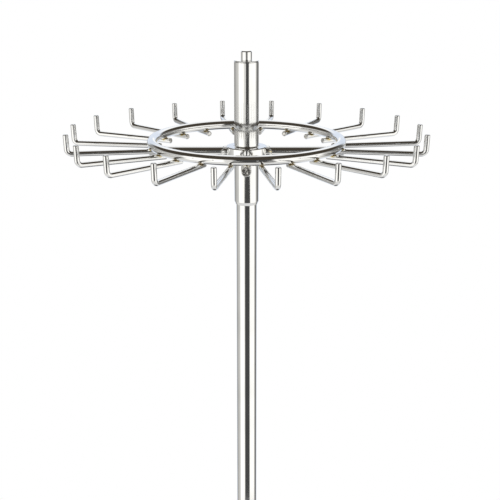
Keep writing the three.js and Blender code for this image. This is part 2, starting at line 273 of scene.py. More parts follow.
def node(tree, kind, inputs=None, out=None, stops=(), **settings):
    """Adds a shader node with its settings, colour stops and links or values, and gives one of its outputs.

    That is the output that out names, or else the first one in use.
    """
    made = tree.nodes.new("ShaderNode" + kind)
    for name, value in settings.items():
        setattr(made, name, value)
    for place, tint in stops:
        stop = made.color_ramp.elements.new(place)
        stop.color = (*tint, 1)
    for spare in (0, -1) if stops else ():
        made.color_ramp.elements.remove(made.color_ramp.elements[spare])
    for name, value in (inputs or {}).items():
        socket = made.inputs[name]
        if isinstance(value, bpy.types.NodeSocket):
            tree.links.new(value, socket)
        else:
            socket.default_value = (*value, 1) if socket.type == "RGBA" else value
    live = [socket for socket in made.outputs if socket.enabled]
    return made.outputs[out] if out else live[0] if live else None


def width(name):
    """Half the width of a CAD node, which is the radius of a turned one."""
    low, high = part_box(name)
    return (high.x - low.x) / 2


def bearing(name):
    """The angle about the spin axis at which a CAD node lies."""
    low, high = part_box(name)
    return math.atan2(low.y + high.y, low.x + high.x)


def stand_at(name, height=0.0):
    """Turns a shape that lies along +X to a CAD node's bearing, and lifts it to a height."""
    return Matrix.Translation((0, 0, height)) @ Matrix.Rotation(bearing(name), 4, "Z")


def polar(radius, angle, height):
    """A point at a bearing about the spin axis."""
    return Vector((radius * math.cos(angle), radius * math.sin(angle), height))


def ring_rod():
    """The ring's centreline radius, rod radius and height."""
    low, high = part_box("ring")
    rod = (high.z - low.z) / 2
    return (high.x - low.x) / 2 - rod, rod, (low.z + high.z) / 2


def spoke_rod():
    """A spoke's rod radius, height, inner end and outer end."""
    low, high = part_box("spoke_right")
    return (high.z - low.z) / 2, (low.z + high.z) / 2, low.x, high.x


def peg_welds(sizes):
    """Where the pegs' wires touch the ring."""
    ring, _, _ = ring_rod()
    return [polar(ring, bearing(name), PEG_PLANE + sizes.wire / 2) for name in PEG_NODES]


def spoke_welds():
    """Where the spokes touch the ring, and where they meet the collar."""
    ring, _, _ = ring_rod()
    rod, height, inner, _ = spoke_rod()
    bearings = [bearing(name) for name in SPOKE_NODES]
    return [polar(ring, a, height + rod) for a in bearings], [polar(inner, a, height) for a in bearings]


def outline(name):
    """The section of a turned CAD node: its [radius, height] corners in order, in the half plane of +X."""
    shape = bmesh.new()
    shape.from_mesh(frame["nodes"][name].data)
    bmesh.ops.remove_doubles(shape, verts=shape.verts, dist=SAME)
    bmesh.ops.bisect_plane(shape, geom=[*shape.verts, *shape.edges, *shape.faces], dist=SAME,
                           plane_co=(0, 0, 0), plane_no=(-1, 0, 0), clear_outer=True)
    cut = bmesh.ops.bisect_plane(shape, geom=[*shape.verts, *shape.edges, *shape.faces], dist=SAME,
                                 plane_co=(0, 0, 0), plane_no=(0, 1, 0))["geom_cut"]
    joined = {}
    for edge in (item for item in cut if isinstance(item, bmesh.types.BMEdge)):
        one, other = edge.verts
        joined.setdefault(one, []).append(other)
        joined.setdefault(other, []).append(one)
    ends = [v for v, others in joined.items() if len(others) == 1]
    walk = [ends[0] if ends else next(iter(joined))]
    while True:
        ahead = [v for v in joined[walk[-1]] if v not in walk]
        if not ahead:
            break
        walk.append(ahead[0])
    points = [Vector((v.co.x, v.co.z)) for v in walk]
    shape.free()
    if len(walk) < 3 or len(walk) != len(joined):
        raise RuntimeError(f"{name} isn't one turned section")
    corners = []
    for i, here in enumerate(points):
        into, out = here - points[i - 1], points[(i + 1) % len(points)] - here
        if here.x < SAME or into.angle(out) > STRAIGHT:
            corners.append(here)
    return corners


def rounded(corners, size):
    """Rounds a section's sharp corners, and holds the flats beside each with one more point."""
    points = []
    for i, here in enumerate(corners):
        back, ahead = corners[i - 1] - here, corners[(i + 1) % len(corners)] - here
        half = back.angle(ahead) / 2
        if here.x < SAME or half > WIDE_CORNER / 2:
            points.append(here)
            continue
        limit = ROUND_SHARE * min(back.length, ahead.length)
        run = min(size / math.tan(half), limit)
        hold = run + HOLD_SHARE * limit
        back.normalize()
        ahead.normalize()
        centre = here + (back + ahead).normalized() * (run / math.cos(half))
        start, end = here + back * run - centre, here + ahead * run - centre
        swing = math.pi - 2 * half
        points.append(here + back * hold)
        for k in range(ROUND_STEPS + 1):
            done = swing * k / ROUND_STEPS
            way = start * math.sin(swing - done) + end * math.sin(done)
            points.append(centre + way.normalized() * start.length)
        points.append(here + ahead * hold)
    return points


def bridge(mesh, one, other):
    """Joins two rings of points with faces. A ring may be a single point."""
    sides = max(len(one), len(other))
    for i in range(sides):
        j = (i + 1) % sides
        corners = (one[i % len(one)], one[j % len(one)], other[j % len(other)], other[i % len(other)])
        face = list(dict.fromkeys(corners))
        if len(face) > 2:
            mesh.faces.new(face)


def turn(mesh, section, sides=TURNED_SIDES, place=(0, 0)):
    """Adds a section, turned about an upright axis, to a mesh.

    The section is closed, or its two ends lie on the axis.
    """
    rings = []
    for radius, height in section:
        count = sides if radius > SAME else 1
        rings.append([mesh.verts.new((
            place[0] + radius * math.cos(2 * math.pi * i / sides),
            place[1] + radius * math.sin(2 * math.pi * i / sides), height)) for i in range(count)])
    following = rings[1:] + rings[:1] if section[0][0] > SAME else rings[1:]
    for one, other in zip(rings, following):
        bridge(mesh, one, other)


def sweep(mesh, path, radii, across, sides, closed=False, legs=None):
    """Adds a bar along a path to a mesh, with a radius at each point, or a leg in the direction of across.

    across never runs along the path. The bar keeps the way that it runs, and marks its cut ends.
    """
    if "cut_face" not in mesh.verts.layers.float:
        mesh.verts.layers.float.new("cut_face")
        mesh.verts.layers.float_vector.new("run")
    cut, run = mesh.verts.layers.float["cut_face"], mesh.verts.layers.float_vector["run"]
    count = len(path)
    angles = [2 * math.pi * k / sides for k in range(sides)]
    rings = []
    for i, (point, radius, leg) in enumerate(zip(path, radii, legs or radii)):
        before = path[i - 1] if closed or i > 0 else point
        after = path[(i + 1) % count] if closed or i < count - 1 else point
        ahead = (after - before).normalized()
        side = across.cross(ahead).normalized()
        up = ahead.cross(side)
        rings.append([mesh.verts.new(point + radius * math.cos(a) * side + leg * math.sin(a) * up)
                      for a in angles])
        for vertex in rings[-1]:
            vertex[run] = ahead
    pairs = list(zip(rings, rings[1:]))
    if closed:
        pairs.append((rings[-1], rings[0]))
    else:
        for ring, point in ((rings[0], path[0]), (rings[-1], path[-1])):
            inner = [mesh.verts.new(point.lerp(v.co, CUT_RING)) for v in ring]
            mesh.faces.new(inner)
            for vertex in ring + inner:
                vertex[cut] = 1.0
            for vertex in inner:
                vertex[run] = across
            pairs.append((ring, inner))
    for one, other in pairs:
        bridge(mesh, one, other)


def quarter():
    """Sine and cosine along a quarter circle, in the steps of a rounding."""
    angles = [math.pi / 2 * k / ROUND_STEPS for k in range(ROUND_STEPS + 1)]
    return [(math.sin(a), math.cos(a)) for a in angles]


def cut_bar(path, radius, edge):
    """A bar's path and radii, with the rounded edges of its two cut ends."""
    first, last = (path[1] - path[0]).normalized(), (path[-1] - path[-2]).normalized()
    start = [(path[0] + first * edge * (1 - s), radius - edge * (1 - c)) for s, c in reversed(quarter())]
    end = [(path[-1] - last * edge * (1 - s), radius - edge * (1 - c)) for s, c in quarter()]
    line = start + [(p, radius) for p in path[1:-1]] + end
    return [p for p, _ in line], [r for _, r in line]


def straight(start, end):
    """Points along a straight line, about a bar's step apart."""
    count = max(2, round((end - start).length / BAR_STEP))
    return [start.lerp(end, i / count) for i in range(count + 1)]


def lumpy(path, radius, sizes):
    """Radii along a weld bead, with its ripples and the uneven feed of the rod."""
    radii = []
    run = 0.0
    for i, point in enumerate(path):
        run += (point - path[i - 1]).length if i else 0.0
        ripple = RIPPLE_DEPTH * math.cos(2 * math.pi * run / sizes.ripple)
        feed = FEED_DEPTH * noise.noise(point * (FEED_RATE / radius))
        radii.append(radius * (1 + ripple + feed))
    return radii


def warm(piece, welds, reach):
    """Marks how close each point of a piece lies to the nearest weld, from 0 to 1, with a ragged edge."""
    marks = piece.data.attributes.new("weld_heat", "FLOAT", "POINT")
    for vertex, mark in zip(piece.data.vertices, marks.data):
        near = min((vertex.co - weld).length for weld in welds)
        ragged = reach * (1 + RAGGED_DEPTH * noise.noise(vertex.co * (RAGGED_RATE / reach)))
        mark.value = max(0.0, 1 - near / ragged)


def link_object(name, mesh, finish):
    """An object in the scene from a mesh, shaded smooth, with its finish."""
    bmesh.ops.recalc_face_normals(mesh, faces=mesh.faces)
    data = bpy.data.meshes.new(name)
    mesh.to_mesh(data)
    mesh.free()
    data.shade_smooth()
    data.materials.append(bpy.data.materials[finish])
    made = bpy.data.objects.new(name, data)
    bpy.context.scene.collection.objects.link(made)
    return made


def add_piece(name, mesh, finish, slot, body, *replaced):
    """A piece of the rack from a mesh, on its body, in place of the CAD nodes that it stands for."""
    piece = link_object(name, mesh, finish)
    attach(piece, body)
    if replaced:
        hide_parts(*replaced)
    return piece


def add_turned(sizes, name, finish, slot, body):
    """A CAD node's turned shape with rounded edges."""
    mesh = bmesh.new()
    turn(mesh, rounded(outline(name), sizes.turned_edge))
    add_piece(name + "_turned", mesh, finish, slot, body, name)


def blank(name):
    """The empty node tree of a new material, and the object's own coordinates for its patterns."""
    made = bpy.data.materials.new(name)
    made.use_nodes = True
    made.node_tree.nodes.clear()
    return made.node_tree, node(made.node_tree, "TexCoord", out="Object")


def bright_chrome(tints, name, keen, dull, drawn_out, turned):
    """Bright chrome over nickel on steel, as keen or dull as the steel was polished before plating.

    The eye sees the room in it, a little out of true where the metal is wavy, under a thin uneven film from
    handling. Polishing marks that run round a piece draw its reflections out along its length. Straw to blue
    heat tint lies close to each weld, and sheared ends break up into light and dark patches.
    """
    tree, spot = blank(name)
    # Film in patches about 45 mm across
    film = node(tree, "TexNoise", {"Vector": spot, "Scale": 1 / 0.045, "Detail": 3.0})
    haze = node(tree, "MapRange", {
        "Value": film, "From Min": 0.45, "From Max": 0.75, "To Min": 0.0, "To Max": 0.6})
    plate = node(tree, "Mix", {"Factor": haze, "A": tints.chrome, "B": tints.chrome_haze}, data_type="RGBA")
    heat = node(tree, "Attribute", out="Fac", attribute_name="weld_heat")
    stain = node(tree, "ValToRGB", {"Fac": heat}, stops=[
        (0.0, WHITE), (0.2, WHITE), (0.36, tints.straw), (0.5, tints.gold),
        (0.66, tints.bronze), (0.82, tints.blue), (1.0, tints.bronze)])
    tinted = node(tree, "Mix", {"Factor": 1.0, "A": plate, "B": stain},
                  data_type="RGBA", blend_type="MULTIPLY")
    cut = node(tree, "Attribute", out="Fac", attribute_name="cut_face")
    # Torn patches of a sheared face about 2.5 mm across
    tear = node(tree, "TexNoise", {"Vector": spot, "Scale": 1 / 0.0025, "Detail": 2.0})
    torn = node(tree, "MapRange", {"Value": tear, "From Min": 0.5, "From Max": 0.7})
    face = node(tree, "Mix", {"Factor": torn, "A": tints.sheared, "B": tints.torn}, data_type="RGBA")
    metal = node(tree, "Mix", {"Factor": cut, "A": tinted, "B": face}, data_type="RGBA")
    smear = node(tree, "MapRange", {
        "Value": film, "From Min": 0.35, "From Max": 0.8, "To Min": keen, "To Max": dull})
    # A sheared face is rougher than the plate beside it
    rough = node(tree, "Math", {0: cut, 1: 0.1, 2: smear}, operation="MULTIPLY_ADD")
    # Waviness that drawing and polishing leave, about 24 mm from crest to crest
    wave = node(tree, "TexNoise", {"Vector": spot, "Scale": 1 / 0.024, "Detail": 1.0})
    wavy = node(tree, "Bump", {"Height": wave, "Strength": 1.0, "Distance": 0.00003})
    lifted = node(tree, "Math", {0: tear, 1: cut}, operation="MULTIPLY")
    bump = node(tree, "Bump", {"Height": lifted, "Strength": 1.0, "Distance": 0.0008, "Normal": wavy})
    # A radial tangent runs round a turned piece, and a quarter turn sets it along the piece's length
    if turned:
        along = node(tree, "Tangent", direction_type="RADIAL", axis="Z")
    else:
        run = node(tree, "Attribute", out="Vector", attribute_name="run")
        along = node(tree, "VectorTransform", {"Vector": run}, vector_type="VECTOR",
                     convert_from="OBJECT", convert_to="WORLD")
    shader = node(tree, "BsdfPrincipled", {
        "Base Color": metal, "Metallic": 1.0, "Roughness": rough, "Normal": bump,
        "Anisotropic": drawn_out, "Anisotropic Rotation": 0.25 if turned else 0.0, "Tangent": along})
    node(tree, "OutputMaterial", {"Surface": shader})


def patchy(name, size, detail, stops, rough, grain, relief, shader, kind="TexNoise", **pattern):
    """A finish whose colour and roughness change in patches of a size, over a finer pattern.

    rough holds two values of the patches and the roughness there, grain the finer pattern's inputs, relief
    the strength and depth of its bump, and shader what else the surface has.
    """
    tree, spot = blank(name)
    patch = node(tree, "TexNoise", {"Vector": spot, "Scale": 1 / size, "Detail": detail})
    tint = node(tree, "ValToRGB", {"Fac": patch}, stops=stops)
    low, high, smooth, dull = rough
    gloss = node(tree, "MapRange", {
        "Value": patch, "From Min": low, "From Max": high, "To Min": smooth, "To Max": dull})
    fine = node(tree, kind, {"Vector": spot, **grain}, out="Fac", **pattern)
    bump = node(tree, "Bump", {"Height": fine, "Strength": relief[0], "Distance": relief[1]})
    surface = node(tree, "BsdfPrincipled", {
        "Base Color": tint, "Roughness": gloss, "Normal": bump, **shader})
    node(tree, "OutputMaterial", {"Surface": surface})


def plated_weld(tints):
    """Weld metal left as it froze and plated over: duller and lumpier than the rod, stained brown and blue.

    Stains are about 6 mm across, and the frozen grain about 0.6 mm.
    """
    stains = [(0.3, tints.weld), (0.62, tints.weld), (0.72, tints.straw), (0.80, tints.bronze),
              (0.88, tints.blue)]
    patchy("plated_weld_bead", 0.006, 2.0, stains, rough=(0.3, 0.8, 0.16, 0.34),
           grain={"Scale": 1 / 0.0006, "Detail": 2.0}, relief=(1.0, 0.00003), shader={"Metallic": 1.0})


def turned_zinc(tints):
    """Zinc plated steel, turned on a lathe: a grey satin metal with fine rings and a patchy yellow cast.

    Clouds of the passivation are about 12 mm across. The tool marks, 0.25 mm apart, are drawn 0.8 mm apart
    so that they show.
    """
    clouds = [(0.4, tints.zinc), (0.7, 0.2 * tints.zinc + 0.8 * tints.zinc_yellow)]
    patchy("turned_zinc_plate", 0.012, 4.0, clouds, rough=(0.3, 0.7, 0.26, 0.42),
           grain={"Scale": RING_WAVE / 0.0008, "Distortion": 0.4}, relief=(0.6, 0.00003),
           shader={"Metallic": 1.0}, kind="TexWave", wave_type="RINGS", rings_direction="Z")


def moulded_acetal(tints):
    """Natural acetal, injection moulded: a dense milky white with a low waxy sheen.

    Flow marks are about 8 mm across, and the spark eroded mould texture 0.3 mm.
    """
    flow = [(0.3, 0.93 * tints.acetal), (0.7, tints.acetal)]
    patchy("moulded_acetal", 0.008, 2.0, flow, rough=(0.3, 0.7, 0.36, 0.48),
           grain={"Scale": 1 / 0.0003, "Detail": 1.0}, relief=(0.5, 0.00001), shader={"IOR": 1.48})


def moulded_rubber(tints):
    """Moulded black rubber: matt and soft, greyed where dust sits in its skin.

    Dust lies in patches about 6 mm across, and the mould texture is 0.5 mm.
    """
    dust = [(0.5, tints.rubber), (0.75, 0.4 * tints.rubber + 0.6 * tints.rubber_dust)]
    patchy("moulded_rubber", 0.006, 4.0, dust, rough=(0.3, 0.7, 0.7, 0.9),
           grain={"Scale": 1 / 0.0005, "Detail": 2.0}, relief=(0.6, 0.00005), shader={"IOR": 1.52})


def painted_iron(tints):
    """Sand cast iron under one coat of black paint: matt, with the sand's grit and low lumps showing."""
    tree, spot = blank("painted_cast_iron")
    # Sand grit about 1.2 mm, lumps about 14 mm
    grit = node(tree, "TexNoise", {"Vector": spot, "Scale": 1 / 0.0012, "Detail": 3.0})
    lumps = node(tree, "TexNoise", {"Vector": spot, "Scale": 1 / 0.014, "Detail": 2.0})
    shade = node(tree, "MapRange", {
        "Value": lumps, "From Min": 0.3, "From Max": 0.7, "To Min": 0.75, "To Max": 1.15})
    paint = node(tree, "Mix", {"Factor": 1.0, "A": tints.iron, "B": shade},
                 data_type="RGBA", blend_type="MULTIPLY")
    rough = node(tree, "MapRange", {
        "Value": grit, "From Min": 0.3, "From Max": 0.7, "To Min": 0.55, "To Max": 0.8})
    coarse = node(tree, "Bump", {"Height": lumps, "Strength": 0.8, "Distance": 0.0008})
    bump = node(tree, "Bump", {"Height": grit, "Strength": 0.8, "Distance": 0.0002, "Normal": coarse})
    shader = node(tree, "BsdfPrincipled", {
        "Base Color": paint, "IOR": 1.5, "Roughness": rough, "Normal": bump})
    node(tree, "OutputMaterial", {"Surface": shader})


def studio_paper(studio):
    """Matt grey background paper, rolled out under the rack.

    The camera sees the rack's shadow on it near the rack, and white further out. The chrome sees it as a
    glow with a painted shadow, dark round a spot behind the rack, and pale beyond.
    """
    tree, spot = blank("matt_grey_paper")
    # Felt marks of the paper about 3 mm across
    felt = node(tree, "TexNoise", {"Vector": spot, "Scale": 1 / 0.003, "Detail": 2.0})
    bump = node(tree, "Bump", {"Height": felt, "Strength": 0.2, "Distance": 0.0001})
    paper = node(tree, "BsdfPrincipled", {"Base Color": studio.paper, "Roughness": 0.9, "Normal": bump})
    out = node(tree, "VectorMath", {"Vector": spot}, operation="LENGTH")
    fade = node(tree, "MapRange", {
        "Value": out, "From Min": studio.floor_near, "From Max": studio.floor_far},
        interpolation_type="SMOOTHSTEP")
    ray = node(tree, "LightPath").node.outputs
    mirrored = node(tree, "Math", {0: ray["Is Glossy Ray"], 1: ray["Is Transmission Ray"]},
                    operation="MAXIMUM")
    seen = node(tree, "Math", {0: fade, 1: ray["Is Camera Ray"]}, operation="MULTIPLY")
    share = node(tree, "Math", {0: seen, 1: mirrored}, operation="MAXIMUM")
    # Painted shadow: to mirrored rays the floor glows dark round a spot behind the rack, where the rack's
    # shadow would fall, and evenly pale beyond
    away = node(tree, "VectorMath", {0: spot, 1: PAINTED_SHADOW_SPOT}, operation="DISTANCE")
    shade = node(tree, "MapRange", {
        "Value": away, "From Min": PAINTED_SHADOW_REACH[0], "From Max": PAINTED_SHADOW_REACH[1],
        "To Min": PAINTED_SHADOW_AND_FLOOR_GLOW[0], "To Max": PAINTED_SHADOW_AND_FLOOR_GLOW[1]})
    bright = node(tree, "Mix", {"Factor": ray["Is Camera Ray"], "A": shade, "B": 1.0}, data_type="FLOAT")
    white = node(tree, "Emission", {"Color": WHITE, "Strength": bright})
    surface = node(tree, "MixShader", {0: share, 1: paper, 2: white})
    node(tree, "OutputMaterial", {"Surface": surface})


class TIERACK_OT_finishes(bpy.types.Operator):
    """Make the finishes that the pieces wear"""

    bl_idname = "tie_rack.finishes"
    bl_label = "Finishes"

    def execute(self, context):
        tints = context.scene.tie_rack_finishes
        bright_chrome(tints, "drawn_wire_chrome", keen=0.09, dull=0.12, drawn_out=0.8, turned=False)
        bright_chrome(tints, "bright_rod_chrome", keen=0.06, dull=0.11, drawn_out=0.0, turned=False)
        bright_chrome(tints, "polished_tube_chrome", keen=0.05, dull=0.08, drawn_out=0.6, turned=True)
        for make in (plated_weld, turned_zinc, moulded_acetal, painted_iron, moulded_rubber):
            make(tints)
        return {"FINISHED"}


class TIERACK_OT_pegs(bpy.types.Operator):
    """Make the bent wire pegs"""

    bl_idname = "tie_rack.pegs"
    bl_label = "Pegs"

    def execute(self, context):
        sizes = context.scene.tie_rack_sizes
        ring, _, _ = ring_rod()
        tip = Vector((ring + sizes.reach, 0, sizes.rise))
        bent = math.pi / 2 - sizes.lean
        start = Vector((tip.x - sizes.rise * math.tan(sizes.lean) - sizes.bend * math.tan(bent / 2), 0, 0))
        angles = [bent * k / BEND_STEPS for k in range(1, BEND_STEPS + 1)]
        bend = [start + sizes.bend * Vector((math.sin(a), 0, 1 - math.cos(a))) for a in angles]
        line = straight(Vector((ring - sizes.stub, 0, 0)), start) + bend + straight(bend[-1], tip)[1:]
        path, radii = cut_bar(line, sizes.wire / 2, sizes.cut_edge)
        for name, weld in zip(PEG_NODES, peg_welds(sizes)):
            stand = stand_at(name, PEG_PLANE)
            mesh = bmesh.new()
            sweep(mesh, [stand @ p for p in path], radii, stand.to_3x3() @ Vector((0, 1, 0)), WIRE_SIDES)
            peg = add_piece(name + "_wire", mesh, "drawn_wire_chrome", "chrome_plate", "head", name)
            warm(peg, [weld], sizes.heat_reach)
        return {"FINISHED"}


class TIERACK_OT_ring(bpy.types.Operator):
    """Make the round rod ring over the pegs"""

    bl_idname = "tie_rack.ring"
    bl_label = "Ring"

    def execute(self, context):
        sizes = context.scene.tie_rack_sizes
        radius, rod, height = ring_rod()
        path = [polar(radius, 2 * math.pi * i / RING_STEPS, height) for i in range(RING_STEPS)]
        mesh = bmesh.new()
        sweep(mesh, path, [rod] * RING_STEPS, Vector((0, 0, 1)), ROD_SIDES, closed=True)
        ring = add_piece("ring_rod", mesh, "bright_rod_chrome", "chrome_plate", "head", "ring")
        warm(ring, peg_welds(sizes) + spoke_welds()[0], sizes.heat_reach)
        return {"FINISHED"}


class TIERACK_OT_spokes(bpy.types.Operator):
    """Make the four spokes under the ring"""

    bl_idname = "tie_rack.spokes"
    bl_label = "Spokes"

    def execute(self, context):
        sizes = context.scene.tie_rack_sizes
        rod, height, inner, outer = spoke_rod()
        at_ring, at_collar = spoke_welds()
        for name in SPOKE_NODES:
            angle = bearing(name)
            line = straight(polar(inner, angle, height), polar(outer, angle, height))
            path, radii = cut_bar(line, rod, sizes.cut_edge)
            mesh = bmesh.new()
            sweep(mesh, path, radii, Vector((0, 0, 1)), ROD_SIDES)
            spoke = add_piece(name + "_rod", mesh, "bright_rod_chrome", "chrome_plate", "head", name)
            warm(spoke, at_ring + at_collar, sizes.heat_reach)
        return {"FINISHED"}


class TIERACK_OT_hub(bpy.types.Operator):
    """Make the collar, the sleeve and the sleeve's cap"""

    bl_idname = "tie_rack.hub"
    bl_label = "Hub"

    def execute(self, context):
        for name in ("hub_collar", "hub_sleeve", "sleeve_cap"):
            add_turned(context.scene.tie_rack_sizes, name, "polished_tube_chrome", "chrome_plate", "head")
        return {"FINISHED"}


class TIERACK_OT_welds(bpy.types.Operator):
    """Make the weld beads of pegs, spokes and collar"""

    bl_idname = "tie_rack.welds"
    bl_label = "Welds"

    def execute(self, context):
        sizes = context.scene.tie_rack_sizes
        self.peg_flash(sizes)
        self.ring_seats(sizes)
        self.collar_beads(sizes)
        self.collar_fillets(sizes)
        return {"FINISHED"}

    def beads(self, name, nodes, lift, loop, radius, sizes):
        """The same closed bead at each of these CAD nodes, with its own ripples at each."""
        mesh = bmesh.new()
        for place in nodes:
            stand = stand_at(place, lift)
            path = [stand @ point for point in loop]
            sweep(mesh, path, lumpy(path, radius, sizes), Vector((0, 0, 1)), BEAD_SIDES, closed=True)
        add_piece(name, mesh, "plated_weld_bead", "chrome_plate", "head")

    def peg_flash(self, sizes):
        """Metal squeezed out along the line where each wire is bedded in the ring."""
        ring, rod, height = ring_rod()
        wire = sizes.wire / 2
        drop = height - PEG_PLANE
        widest = math.acos((drop - rod) / wire)
        loop = []
        for side in (1, -1):
            for k in range(FLASH_STEPS):
                angle = side * widest * math.cos(math.pi * k / FLASH_STEPS)
                along = math.sqrt(max(0.0, rod ** 2 - (drop - wire * math.cos(angle)) ** 2))
                loop.append(Vector((ring + side * along, wire * math.sin(angle), wire * math.cos(angle))))
        self.beads("peg_weld_flash", PEG_NODES, PEG_PLANE, loop, sizes.flash, sizes)

    def ring_seats(self, sizes):
        """A small bead round the spot where each spoke carries the ring."""
        ring, ring_radius, ring_height = ring_rod()
        rod, height, _, _ = spoke_rod()
        under, over = ring_height - ring_radius, height + rod
        gap = under - over + sizes.seat ** 2 / (2 * rod)
        loop = []
        for k in range(SEAT_STEPS):
            c, s = math.cos(2 * math.pi * k / SEAT_STEPS), math.sin(2 * math.pi * k / SEAT_STEPS)
            middle = (under + over) / 2 + (c ** 2 - s ** 2) * sizes.seat ** 2 / (4 * rod)
            loop.append(Vector((ring + sizes.seat * c, sizes.seat * s, middle)))
        self.beads("spoke_seat_welds", SPOKE_NODES, 0.0, loop, gap / 2 + sizes.seat_overlap, sizes)

    def collar_beads(self, sizes):
        """A rippled bead round each spoke where it meets the collar, thin on top where the two are level."""
        rod, height, _, _ = spoke_rod()
        collar = width("hub_collar")
        mesh = bmesh.new()
        for name in SPOKE_NODES:
            stand = stand_at(name)
            path, full = [], []
            for k in range(BEAD_STEPS):
                a = 2 * math.pi * k / BEAD_STEPS
                aside, above = rod * math.sin(a), rod * math.cos(a)
                path.append(stand @ Vector((math.sqrt(collar ** 2 - aside ** 2), aside, height + above)))
                full.append(min(1.0, (1 - math.cos(a)) / BEAD_FULL))
            heights, legs = (
                [size * (least + (1 - least) * f) for size, f in zip(lumpy(path, most, sizes), full)]
                for most, least in ((sizes.bead, BEAD_TOP_HEIGHT), (sizes.bead_leg, BEAD_TOP_LEG)))
            sweep(mesh, path, heights, stand @ Vector((1, 0, 0)), BEAD_SIDES, closed=True, legs=legs)
        add_piece("collar_weld_beads", mesh, "plated_weld_bead", "chrome_plate", "head")

    def collar_fillets(self, sizes):
        """Brazed fillets above and below the collar, against the sleeve."""
        low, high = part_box("hub_collar")
        reach = sizes.fillet
        mesh = bmesh.new()
        for face, way in ((high.z, 1), (low.z, -1)):
            corner = Vector((width("hub_sleeve"), face))
            hollow = corner + Vector((reach, way * reach))
            arc = [hollow - reach * Vector((c, way * s)) for s, c in quarter()]
            turn(mesh, arc + [corner + Vector((reach, -way * SAME)), corner - Vector((SAME, way * SAME))])
        add_piece("collar_brazed_fillets", mesh, "polished_tube_chrome", "chrome_plate", "head")


class TIERACK_OT_bearing(bpy.types.Operator):
    """Make the spindle, its bush, the thrust washer and the post's plug"""

    bl_idname = "tie_rack.bearing"
    bl_label = "Bearing"

    def execute(self, context):
        sizes = context.scene.tie_rack_sizes
        add_turned(sizes, "spindle", "polished_tube_chrome", "chrome_plate", "stand")
        add_turned(sizes, "spindle_bush", "moulded_acetal", "acetal", "head")
        add_turned(sizes, "thrust_washer", "turned_zinc_plate", "zinc_steel", "stand")
        add_turned(sizes, "post_plug", "turned_zinc_plate", "zinc_steel", "stand")
        return {"FINISHED"}


class TIERACK_OT_post(bpy.types.Operator):
    """Make the post, the plug in its foot and the escutcheon round it"""

    bl_idname = "tie_rack.post"
    bl_label = "Post"

    def execute(self, context):
        sizes = context.scene.tie_rack_sizes
        add_turned(sizes, "post", "polished_tube_chrome", "chrome_plate", "stand")
        add_turned(sizes, "foot_plug", "turned_zinc_plate", "zinc_steel", "stand")
        low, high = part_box("base_flange")
        outer, bore = width("base_flange"), width("post") + sizes.press
        flare = outer - bore - sizes.flange_land
        rise = high.z - low.z - sizes.flange_edge
        corners = [Vector((bore, low.z)), Vector((outer, low.z))]
        for k in range(DOME_STEPS + 1):
            a = math.pi / 2 * (1 - k / DOME_STEPS)
            corners.append(Vector((outer - flare * (1 - math.sin(a)), high.z - rise * (1 - math.cos(a)))))
        corners.append(Vector((bore, high.z)))
        mesh = bmesh.new()
        turn(mesh, rounded(corners, sizes.turned_edge))
        add_piece("base_flange_spun", mesh, "polished_tube_chrome", "chrome_plate", "stand", "base_flange")
        return {"FINISHED"}


